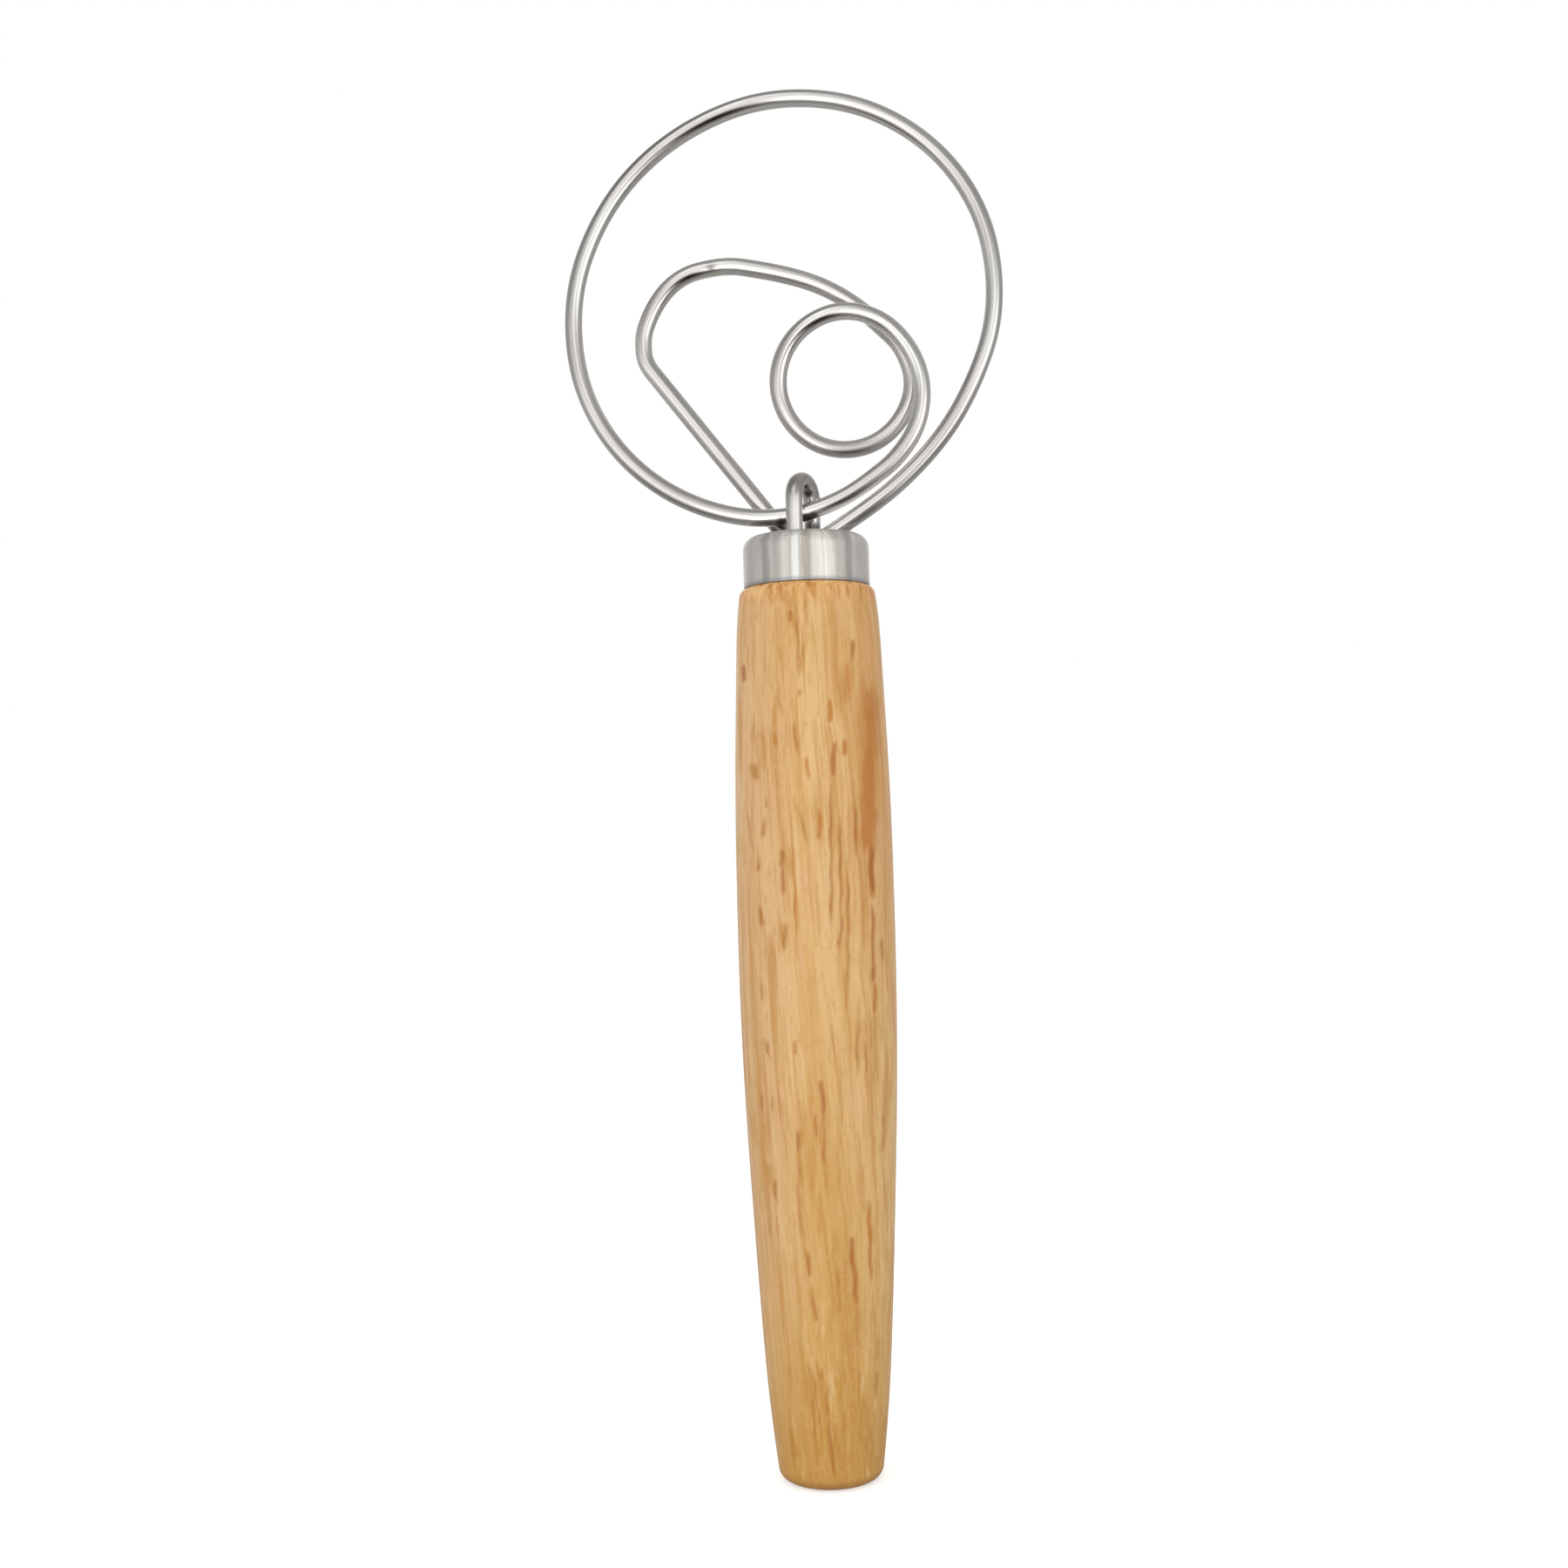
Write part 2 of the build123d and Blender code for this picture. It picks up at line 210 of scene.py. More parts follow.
# How far a stroke sways and over which length, and how strong the orange ones are on the back
stroke_sway = 0.09 * mm
stroke_sway_step = 0.9 * mm
orange_behind = 0.4

# Grain of the wood: its lean across the handle, and the size and reach of its waver
grain_lean = math.radians(3.2)
waver_cell = (12 * mm, 26 * mm)
waver_reach = 2.6 * mm

# Patterns stretched along the grain: millimetres across and along it, shift, detail and roughness
grain_patterns = {
    "bands": (4.5, 70, (0, 0, 0), 1.5, 0.55),
    "patches": (5, 14, (2, 8, 3), 2.0, 0.55),
    "strokes": (1.3, 40, (3, 5, 1), 3.0, 0.6),
    "flecks": (0.8, 3.0, (6, 1, 8), 1.5, 0.55),
    "lines": (0.6, 22, (7, 2, 4), 2.0, 0.55),
    "fibres": (0.2, 2.5, (1, 9, 6), 2.0, 0.55),
    "ends": (0.9, 5, (5, 5, 5), 2.0, 0.55),
}

# Zones of the handle with a tone of their own: the fades whose product is the zone, each with its
# axis and the millimetres where it sets in and is full, then colour and strength
wood_zones = (
    ((("Z", 100, 10),), (206, 156, 62), 0.6),
    ((("Z", 26, 2),), (196, 138, 42), 0.45),
    ((("Z", 4, 40), ("X", -2, -9)), (232, 188, 146), 0.4),
    ((("Z", 70, 105), ("X", 3, 9)), (220, 146, 76), 0.3),
    ((("Z", 4, 40), ("Z", 90, 55), ("X", 3, 9)), (244, 206, 144), 0.5),
)

# Tones of the patterns: the pattern, where on it the tone sets in and is full, colour and strength
wood_tones = (
    ("patches", 0.55, 0.75, (206, 158, 78), 0.55), ("patches", 0.42, 0.25, (232, 182, 136), 0.55),
    ("strokes", 0.50, 0.66, (200, 138, 58), 0.6), ("strokes", 0.45, 0.30, (244, 206, 148), 0.45),
    ("lines", 0.52, 0.70, (200, 138, 62), 0.45), ("lines", 0.42, 0.26, (244, 204, 146), 0.2),
    ("fibres", 0.55, 0.8, (208, 154, 88), 0.1), ("flecks", 0.55, 0.75, (204, 148, 72), 0.4),
    ("flecks", 0.42, 0.28, (238, 194, 138), 0.2), ("mottle", 0.52, 0.75, (230, 176, 130), 0.3),
    ("mottle", 0.46, 0.25, (204, 164, 92), 0.3),
)

# Tones of the single marks: the attribute, the depth at which the tone is full, colour and strength
mark_tones = (
    ("golden_marks", 0.9, (192, 132, 34), 0.6), ("orange_marks", 1.0, (196, 120, 34), 0.85),
    ("brown_marks", 1.0, (176, 104, 34), 0.74),
)

# Collar of cut fibres under the shoulder: how far below it the collar starts and is full, and its
# tones, first all over and then along the pattern of the fibres' ends
collar_start = 4.5 * mm
collar_full = 1.4 * mm
collar_tone = (238, 176, 106)
collar_end_tones = ((0.50, 0.66, (188, 120, 42), 0.75), (0.46, 0.32, (250, 208, 148), 0.55))

# Painted reflections on the cap, as streaks: degrees from the front, half width in degrees, colour
# and strength
cap_painted_reflections = (
    (-62, 17, (198, 193, 186), 0.7), (-40, 7, (168, 164, 158), 0.8),
    (-29, 7, (196, 191, 184), 0.75), (-19.5, 4, (230, 226, 219), 0.7),
    (-15, 2, (204, 199, 192), 0.6), (-10.8, 4.4, (255, 255, 252), 1.0),
    (-0.5, 7, (182, 172, 158), 0.95), (14, 11.5, (255, 252, 242), 0.95),
    (14.5, 2, (225, 218, 205), 0.5), (27.5, 5.5, (206, 201, 193), 0.9),
    (40.5, 7, (172, 168, 162), 0.8), (62, 14, (202, 198, 191), 0.6),
)

# How much of a painted reflection's width is full, and how far the brush marks sway it
reflection_core_share = 0.15
reflection_sway = math.radians(4.5)

# Tones over the streaks: the pattern, where the tone sets in and is full, colour and strength
cap_tones = (
    ("brushed", 0.5, 0.7, (176, 171, 164), 0.3), ("brushed", 0.45, 0.25, (250, 247, 240), 0.25),
    ("marks", 0.5, 0.75, (190, 185, 178), 0.25),
)

# What the steel mirrors: the room's grey, and soft lights and dark flags in it, each with its
# direction, sharpness and brightness
studio_room = 0.285
studio_lights = (
    (-0.188, -0.725, 0.663, 24.0, 1.04), (0.661, -0.741, -0.116, 17.5, 2.20),
    (-0.582, -0.775, -0.245, 9.7, 0.95), (0.089, -0.989, 0.120, 31.9, 1.27),
    (0.245, -0.920, -0.306, 13.3, -1.35), (-0.031, -0.936, -0.352, 30.3, 3.13),
    (-0.269, 0.793, 0.547, 1.5, 0.26), (-0.622, -0.403, -0.671, 12.3, -0.35),
    (-0.484, 0.126, 0.866, 4.9, -0.29), (0.824, -0.405, -0.396, 62.9, -0.66),
    (0.0, 0.970, 0.243, 14.0, 1.2),
)

# Grey marks on the wire, the one at 392.8 mm painted shade of the kinked facet at the loop's
# corner: where along it, in millimetres, half length, degrees round it from its front towards the
# outside of the ring, half width and strength
wire_grey_marks = (
    (36.7, 5, 32, 22, 0.7), (146.4, 9, -27, 20, 0.95), (241.2, 3, 42, 22, 0.8),
    (255.5, 5, 32, 22, 0.75), (302.1, 5, -31, 20, 0.9), (333.5, 5, 31, 20, 0.85),
    (396.7, 4, -31, 20, 1.0), (392.8, 0.9, -14, 30, 0.75),
)

# Dull stretches of the wire: millimetres along it, half length and strength
wire_dullness = (
    (56, 12, 0.75), (101, 7, 0.3), (120, 9, 0.35), (160, 8, 0.3), (197, 8, 0.35), (224, 15, 0.65),
    (265, 6, 0.4), (292, 6, 0.3), (318, 9, 0.75), (337, 6, 0.5), (355, 9, 0.4), (380, 9, 0.4),
    (404, 4, 0.4), (428, 6, 0.25), (441, 8, 0.5),
)

# Painted shade in the corners where the wires meet, under the strands and in the staple's eye: x,
# y, z and reach in millimetres, and strength
wire_painted_shade = (
    (-4.4, 2.4, 158.1, 1.9, 0.9), (-4.0, -0.5, 158.6, 1.4, 1), (0.1, -0.8, 158.8, 1.4, 0.95),
    (1.4, -0.8, 159.2, 1.2, 0.85),
)
staple_painted_shade = (
    (1.3, 2.4, 157.8, 1.5, 0.9), (0.75, 1.8, 163.7, 1.1, 0.95), (0.9, 1.8, 162.8, 1.0, 0.35),
    (1.1, 1.9, 161.9, 1.0, 0.25),
)

# Tones of the wire: painted shade where the wires meet, dull stretches, grey marks and painted
# shade over the staple's crown
painted_shade_tone = (34, 30, 28)
dull_tone = (208, 201, 197)
grey_mark_tone = (84, 66, 60)
crown_shade_tone = (182, 178, 172)

# Studio: the middle of the wire head, from where its reflections are seen, the tent round it, the
# floor, which lies a hair under the butt, and the light of the room
head_middle = (0, 0, 190 * mm)
tent_radius = 2.5
floor_half_width = 6.0
floor_drop = 0.02 * mm
floor_grey = 0.8
floor_lift = 0.5
room_light = 0.82

# Camera, as the photograph was taken: from in front, level, and rolled a little
camera_place = (-4.95 * mm, -316 * mm, 106.6 * mm)
camera_roll = math.radians(1.607)
camera_lens = 43.7
camera_sensor = 36.0
camera_shift = 0.0322

up = np.array((0, 0, 1.0))
back = np.array((0, 1.0, 0))


def unit(vectors):
    """Each vector divided by its length."""
    return vectors / np.maximum(np.linalg.norm(vectors, axis=-1, keepdims=True), 1e-12)


def dot(first, second):
    """Dot product of each pair of vectors, kept as a column."""
    return (first * second).sum(axis=-1, keepdims=True)


def turning(first, last, count):
    """Angles in radians from the first to the last, in even steps."""
    return np.radians(np.linspace(first, last, count))


def closed_shell(name, rings, first_pole, last_pole):
    """Closed smooth mesh over a stack of rings of points, rows by columns by 3.

    Each ring is joined to the next by quads, point (i, j) to (i, j+1), (i+1, j+1) and (i+1, j), and
    the first and the last ring are closed by a fan of triangles to a pole."""
    rows, columns = rings.shape[:2]
    here = np.arange(rows * columns).reshape(rows, columns)
    beside = np.roll(here, -1, axis=1)
    walls = np.stack([here[:-1], beside[:-1], beside[1:], here[1:]], axis=-1).reshape(-1, 4)
    poles = np.full((2, columns), [[rows * columns], [rows * columns + 1]])
    first_fan = np.stack([poles[0], beside[0], here[0]], axis=-1)
    last_fan = np.stack([poles[1], here[-1], beside[-1]], axis=-1)
    points = np.concatenate([rings.reshape(-1, 3), [first_pole, last_pole]])
    mesh = bpy.data.meshes.new(name)
    mesh.from_pydata(points, [], walls.tolist() + first_fan.tolist() + last_fan.tolist())
    mesh.polygons.foreach_set("use_smooth", np.ones(len(mesh.polygons), bool))
    mesh.update()
    piece = bpy.data.objects.new(name, mesh)
    bpy.context.scene.collection.objects.link(piece)
    return piece


def write_attribute(piece, name, kind, key, values):
    """Stores one value for each vertex of the piece."""
    attribute = piece.data.attributes.new(name, kind, "POINT")
    attribute.data.foreach_set(key, np.asarray(values, np.float32).ravel())


def natural_cubic(stations, values, places):
    """Values at `places` of the natural cubic spline through the stations.

    Between two stations the value is a cubic, its slope and bend carry on into the next one, and
    the bend is zero at both ends."""
    steps = np.diff(stations)
    slopes = np.diff(values) / steps
    inner = np.arange(1, len(stations) - 1)
    matrix = np.diag(np.concatenate([[1], 2 * (steps[:-1] + steps[1:]), [1]]))
    matrix[inner, inner - 1] = steps[:-1]
    matrix[inner, inner + 1] = steps[1:]
    bends = np.linalg.solve(matrix, np.concatenate([[0], 6 * np.diff(slopes), [0]]))
    span = np.clip(np.searchsorted(stations, places) - 1, 0, len(steps) - 1)
    step = steps[span]
    after = places - stations[span]
    before = stations[span + 1] - places
    cubic = (bends[span] * before**3 + bends[span + 1] * after**3) / (6 * step)
    return (
        cubic
        + (values[span] / step - bends[span] * step / 6) * before
        + (values[span + 1] / step - bends[span + 1] * step / 6) * after
    )


def barrel_radius(heights):
    """Radius of the turned barrel at each height, without its rounded edges."""
    stations, radii = [0.0], [butt_radius]
    for height, swell in lower_swell_shares:
        stations.append(belly_height * height)
        radii.append(butt_radius + (belly_radius - butt_radius) * swell)
    stations.append(belly_height)
    radii.append(belly_radius)
    for height, swell in upper_swell_shares:
        stations.append(belly_height + (shoulder_height - belly_height) * height)
        radii.append(shoulder_radius + (belly_radius - shoulder_radius) * swell)
    stations.append(shoulder_height)
    radii.append(shoulder_radius)
    return natural_cubic(np.array(stations), np.array(radii), heights)


def handle_profile():
    """Radius and height of the handle's outline, from the middle of the butt up the barrel, round
    the tenon and down the socket. A rounded edge is a quarter circle taken off the outline."""
    flat = np.linspace(0, butt_radius - butt_edge_radius, butt_rows)[1:-1]
    turn = turning(0, 90, butt_edge_rows)
    butt_height = butt_edge_radius * (1 - np.cos(turn))
    butt = barrel_radius(butt_height) - butt_edge_radius * (1 - np.sin(turn))
    side_top = shoulder_height - shoulder_edge_radius
    side_height = np.linspace(butt_edge_radius, side_top, barrel_rows)[1:-1]
    turn = turning(0, 90, top_edge_rows)
    top_height = shoulder_height - shoulder_edge_radius * (1 - np.sin(turn))
    top = barrel_radius(top_height) - shoulder_edge_radius * (1 - np.cos(turn))
    rim_height = tenon_top - tenon_edge_radius * (1 - np.sin(turn))
    rim = tenon_radius - tenon_edge_radius * (1 - np.cos(turn))
    socket = [(socket_radius, tenon_top), (socket_radius, socket_floor)]
    return np.concatenate([
        np.stack([flat, 0 * flat], axis=-1),
        np.stack([butt, butt_height], axis=-1),
        np.stack([barrel_radius(side_height), side_height], axis=-1),
        np.stack([top, top_height], axis=-1),
        [(tenon_radius, shoulder_height)],
        np.stack([rim, rim_height], axis=-1),
        socket,
        [(socket_radius / 2, socket_floor)],
    ])


def stroke_depth(points, strokes, behind=1.0):
    """How strongly the strokes mark each point, from 0 to 1.

    A stroke runs down the handle along x = x1 + (x2 - x1) t, swaying a little. At a beside it, its
    depth is s exp(-(1.8a / w)^2 - (2t - 1)^8), so that it tapers. On the back the strokes run
    upside down, and are `behind` times as strong."""
    front = points[:, 1] < 0
    across = np.where(front, points[:, 0], -points[:, 0])
    height = np.where(front, points[:, 2], shoulder_height - points[:, 2])
    sway = stroke_sway * np.sin(height / stroke_sway_step)
    depth = np.zeros(len(points))
    for stroke in np.array(strokes) * (mm, mm, mm, mm, mm, 1):
        top_x, top_z, foot_x, foot_z, width, strength = stroke
        share = (top_z - height) / (top_z - foot_z)
        beside = across - top_x - (foot_x - top_x) * np.clip(share, 0, 1) - sway
        mark = strength * np.exp(-((1.8 * beside / width) ** 2) - (2 * share - 1) ** 8)
        depth = np.maximum(depth, mark)
    return np.where(front, depth, behind * depth)


def make_handle():
    """Surface of revolution: each point of the outline, at radius r and height z, gives the ring
    (r cos a, r sin a, z)."""
    profile = handle_profile()
    angle = np.arange(handle_columns) * 2 * np.pi / handle_columns
    radius, height = profile[:, :1], profile[:, 1:]
    rings = np.stack([radius * np.cos(angle), radius * np.sin(angle), height + 0 * angle], axis=-1)
    poles = (0, 0, 0), (0, 0, socket_floor)
    piece = closed_shell("turned_handle", rings, *poles)
    points = np.concatenate([rings.reshape(-1, 3), poles])
    for name, strokes, behind in (
        ("brown_marks", brown_strokes, 1.0),
        ("orange_marks", orange_strokes, orange_behind),
        ("golden_marks", golden_strokes, 1.0),
    ):
        write_attribute(piece, name, "FLOAT", "value", stroke_depth(points, strokes, behind))
    return piece


def polar_places(centre, radii, degrees, depth):
    """Points round a centre in the head's plane, each at its own radius, angle and depth."""
    angle = np.radians(degrees)
    across, rise = radii * np.cos(angle), radii * np.sin(angle)
    return centre + np.stack([across, depth + 0 * angle, rise], axis=-1)


def head_places():
    """The points that the wire runs through, from the right tail round the ring, the coil and the
    loop to the straight leg. The coil drops behind its own first turn along an S: s^2 (3 - 2s)."""
    ring_radii = ring_radius * np.array(ring_radius_shares)
    ring = polar_places(ring_centre, ring_radii, np.array(ring_degrees), 0)
    coil_way = np.array((math.cos(coil_bearing), 0, math.sin(coil_bearing)))
    coil_centre = ring_centre + coil_offset * coil_way
    degrees = np.array(coil_degrees)
    start, end = coil_drop_degrees
    share = np.clip((degrees - start) / (end - start), 0, 1)
    drop = strand_depth * share * share * (3 - 2 * share)
    coil = polar_places(coil_centre, coil_radius * np.array(coil_radius_shares), degrees, drop)
    across, rise = np.array(loop_place_shares).T * ring_radius
    loop = ring_centre + np.stack([across, strand_depth + 0 * across, rise], axis=-1)
    return np.concatenate([ring, coil, loop])


def tail_stations(corner, target):
    """A tail from inside the handle, upright, then bent towards `target`: points and directions."""
    lean = unit(target - corner)
    setback = tail_bend_radius * math.tan(math.acos(lean @ up) / 2)
    foot = np.array((corner[0], corner[1], tail_end))
    points = np.array([foot, corner - up * setback, corner + lean * setback])
    return points, np.array([up, up, lean])


def wire_stations():
    """Points and directions of the whole wire. At each place round the head, the direction is that
    of the circle through it and its two neighbours: a / |a|^2 + b / |b|^2."""
    places = head_places()
    right, right_ways = tail_stations(right_tail, places[0])
    left, left_ways = tail_stations(left_tail, places[-1])
    before, after = np.diff(places, axis=0)[:-1], np.diff(places, axis=0)[1:]
    inner = unit(before / dot(before, before) + after / dot(after, after))
    points = np.concatenate([right, places, left[::-1]])
    ways = np.concatenate([right_ways, right_ways[-1:], inner, -left_ways[-1:], -left_ways[::-1]])
    return points, ways


def staple_stations():
    """The hairpin: up one leg, half round over the ring's lowest strand, and down the other leg."""
    crown = np.array((staple_x, 0, staple_crown))
    bend = crown - up * np.linalg.norm(staple_leg)
    foot = np.array((staple_x, 0, staple_foot))
    going_up = [foot - staple_leg, bend - staple_leg]
    going_down = [bend + staple_leg, foot + staple_leg]
    points = np.array([*going_up, crown, *going_down])
    return points, np.array([up, up, unit(staple_leg), -up, -up])


def smooth_route(points, ways, spacing):
    """Evenly spaced points along the biarcs through the stations.

    Between two stations a and b, with chord c and directions p and q, two arcs meet at
    (a + b + (p - q) d) / 2, where d = c.c / (c.(p + q) + sqrt((c.(p + q))^2 + 2 (1 - p.q) c.c)).
    Each arc leaves its start along its direction w: start + k (sin(t) w + (1 - cos(t)) n), with n
    the side that it bends to."""
    chord = np.diff(points, axis=0)
    first, last = ways[:-1], ways[1:]
    along, spread = dot(chord, first + last), 2 * (1 - dot(first, last))
    reach = dot(chord, chord) / (along + np.sqrt(along**2 + spread * dot(chord, chord)))
    middle = (points[:-1] + points[1:] + (first - last) * reach) / 2
    middle_way = unit(chord - (first + last) * reach)
    starts = np.stack([points[:-1], middle], axis=1).reshape(-1, 1, 3)
    ends = np.stack([middle, points[1:]], axis=1).reshape(-1, 1, 3)
    leaving = np.stack([first, middle_way], axis=1).reshape(-1, 1, 3)
    chord = ends - starts
    side = unit(chord) - leaving * dot(unit(chord), leaving)
    sine, cosine = np.linalg.norm(side, axis=-1, keepdims=True), dot(unit(chord), leaving)
    half_turn = np.maximum(np.arctan2(sine, cosine), 1e-6)
    turn = 2 * half_turn * np.linspace(0, 1, arc_points)[:-1].reshape(1, -1, 1)
    size = np.linalg.norm(chord, axis=-1, keepdims=True) / (2 * np.sin(half_turn))
    arcs = starts + size * (np.sin(turn) * leaving + (1 - np.cos(turn)) * unit(side))
    line = np.concatenate([arcs.reshape(-1, 3), points[-1:]])
    run = np.concatenate([[0], np.cumsum(np.linalg.norm(np.diff(line, axis=0), axis=-1))])
    even = np.linspace(0, run[-1], round(run[-1] / spacing))
    return np.stack([np.interp(even, run, line[:, axis]) for axis in range(3)], axis=-1), even


def make_bar(name, stations, radius, facing, spacing, flattening=0.0):
    """Round bar: each point c of the route carries the ring c + r (cos(a) s + sin(a) f).

    The side s is the route's direction crossed with `facing`, f is s turned a quarter, and towards
    both ends r falls off as a quarter ellipse, so that the cut ends are rounded. Over the crown of
    a hairpin the bar is a little flatter along s and as much wider along f, as exp(-(e / E)^2),
    with e along it from its middle and E the crown's reach."""
    route, run = smooth_route(*stations, spacing)
    way = unit(np.gradient(route, axis=0))
    side = unit(np.cross(way, facing))
    front = np.cross(way, side)
    angle = (np.arange(bar_columns) * 2 * np.pi / bar_columns).reshape(1, -1, 1)
    from_end = np.clip(np.minimum(run, run[-1] - run) / wire_end_rounding, 0, 1)
    radii = (radius * np.sqrt(1 - (1 - from_end) ** 2)).reshape(-1, 1, 1)
    from_middle = (run - run[-1] / 2) / staple_crown_reach
    crown = flattening * np.exp(-(from_middle**2)).reshape(-1, 1, 1)
    sideways = (1 - crown) * np.cos(angle) * side[:, None]
    forwards = (1 + crown) * np.sin(angle) * front[:, None]
    rings = route[:, None] + radii * (sideways + forwards)
    piece = closed_shell(name, rings[1:-1], route[0], route[-1])
    drawn = np.zeros((len(run) - 2, bar_columns, 3))
    drawn[..., 0:1] = radius * np.cos(angle)
    drawn[..., 1:2] = radius * np.sin(angle)
    drawn[..., 2] = run[1:-1, None]
    drawn = np.concatenate([drawn.reshape(-1, 3), [(0, 0, run[0]), (0, 0, run[-1])]])
    write_attribute(piece, "straightened", "FLOAT_VECTOR", "vector", drawn)
    return piece


def write_marks_and_dullness(piece):
    """Strength of the grey marks, one of them painted shade, and of the dull stretches at each
    vertex, from 0 to 1.

    A mark is s exp(-(b / B)^2 - (e / E)^2), with b along the wire and e round it from its middle,
    and B and E its half length and half width. A dull stretch goes all round the wire."""
    points = np.zeros(3 * len(piece.data.vertices), np.float32)
    piece.data.attributes["straightened"].data.foreach_get("vector", points)
    across, front, run = points.reshape(-1, 3).T
    angle = np.degrees(np.arctan2(-across, front))
    depth = np.zeros(len(run))
    for place, length, turn, width, strength in wire_grey_marks:
        along = (run - place * mm) / (length * mm)
        aside = (angle - turn) / width
        depth = np.maximum(depth, strength * np.exp(-(along**2) - aside**2))
    write_attribute(piece, "grey_marks", "FLOAT", "value", depth)
    place, length, strength = (np.array(wire_dullness) * (mm, mm, 1)).T
    darkening = strength * np.exp(-(((run[:, None] - place) / length) ** 2))
    write_attribute(piece, "dullness", "FLOAT", "value", darkening.max(axis=1))


def paint(red, green, blue):
    """Scene colour of an sRGB colour given from 0 to 255."""
    share = np.array((red, green, blue)) / 255
    linear = np.where(share <= 0.04045, share / 12.92, ((share + 0.055) / 1.055) ** 2.4)
    return (*linear.tolist(), 1.0)


class Graph:
    """Adds nodes to a node tree. Each input is a value, which is set, or a socket, to link."""

    def __init__(self, tree):
        self.tree = tree
        tree.nodes.clear()

    def add(self, kind, inputs=None, **settings):
        """A new node with these settings and inputs."""
        node = self.tree.nodes.new(kind)
        for name, value in settings.items():
            setattr(node, name, value)
        for name, value in (inputs or {}).items():
            if isinstance(value, bpy.types.NodeSocket):
                self.tree.links.new(value, node.inputs[name])
            else:
                node.inputs[name].default_value = value
        return node

    def math(self, operation, first, second=0.0, third=0.0):
        """The result of one step of arithmetic."""
        inputs = {0: first, 1: second, 2: third}
        return self.add("ShaderNodeMath", inputs, operation=operation).outputs[0]

    def fade(self, value, low, high):
        """0 at `low` and before it, 1 at `high` and past it, with an S between them."""
        inputs = {"Value": value, "From Min": low, "From Max": high}
        node = self.add("ShaderNodeMapRange", inputs, interpolation_type="SMOOTHSTEP")
        return node.outputs["Result"]

    def blend(self, share, first, second):
        """The first colour where the share is 0, the second where it is 1."""
        inputs = {"Factor": share, 6: first, 7: second}
        return self.add("ShaderNodeMix", inputs, data_type="RGBA").outputs[2]

    def placed(self, vector, turn=(0, 0, 0), scale=(1, 1, 1), shift=(0, 0, 0)):
        """The vector scaled, then turned, then shifted."""
        inputs = {"Vector": vector, "Location": shift, "Rotation": turn, "Scale": scale}
        return self.add("ShaderNodeMapping", inputs).outputs["Vector"]

    def noise(self, vector, detail=2.0, roughness=0.5):
        """Cloudy noise from 0 to 1 in cells of one unit of the vector."""
        inputs = {"Vector": vector, "Scale": 1.0, "Detail": detail, "Roughness": roughness}
        return self.add("ShaderNodeTexNoise", inputs).outputs["Fac"]

    def attribute(self, name, output="Fac"):
        """What each vertex of the piece holds under that name."""
        return self.add("ShaderNodeAttribute", attribute_name=name).outputs[output]

    def tint(self, colour, share, other, strength=1.0):
        """The colour, drawn to the other colour where the share is high."""
        return self.blend(self.math("MULTIPLY", share, strength), colour, other)

    def surface(self, **inputs):
        """The Principled shader that ends the material."""
        values = {name.replace("_", " "): value for name, value in inputs.items()}
        shader = self.add("ShaderNodeBsdfPrincipled", values)
        self.add("ShaderNodeOutputMaterial", {"Surface": shader.outputs[0]})


def new_material(name):
    """An empty material and its graph."""
    material = bpy.data.materials.new(name)
    material.use_nodes = True
    return material, Graph(material.node_tree)


def cell(across, along):
    """Scale that stretches a pattern to cells of that width and length, in metres."""
    return (1 / across, 1 / across, 1 / along)


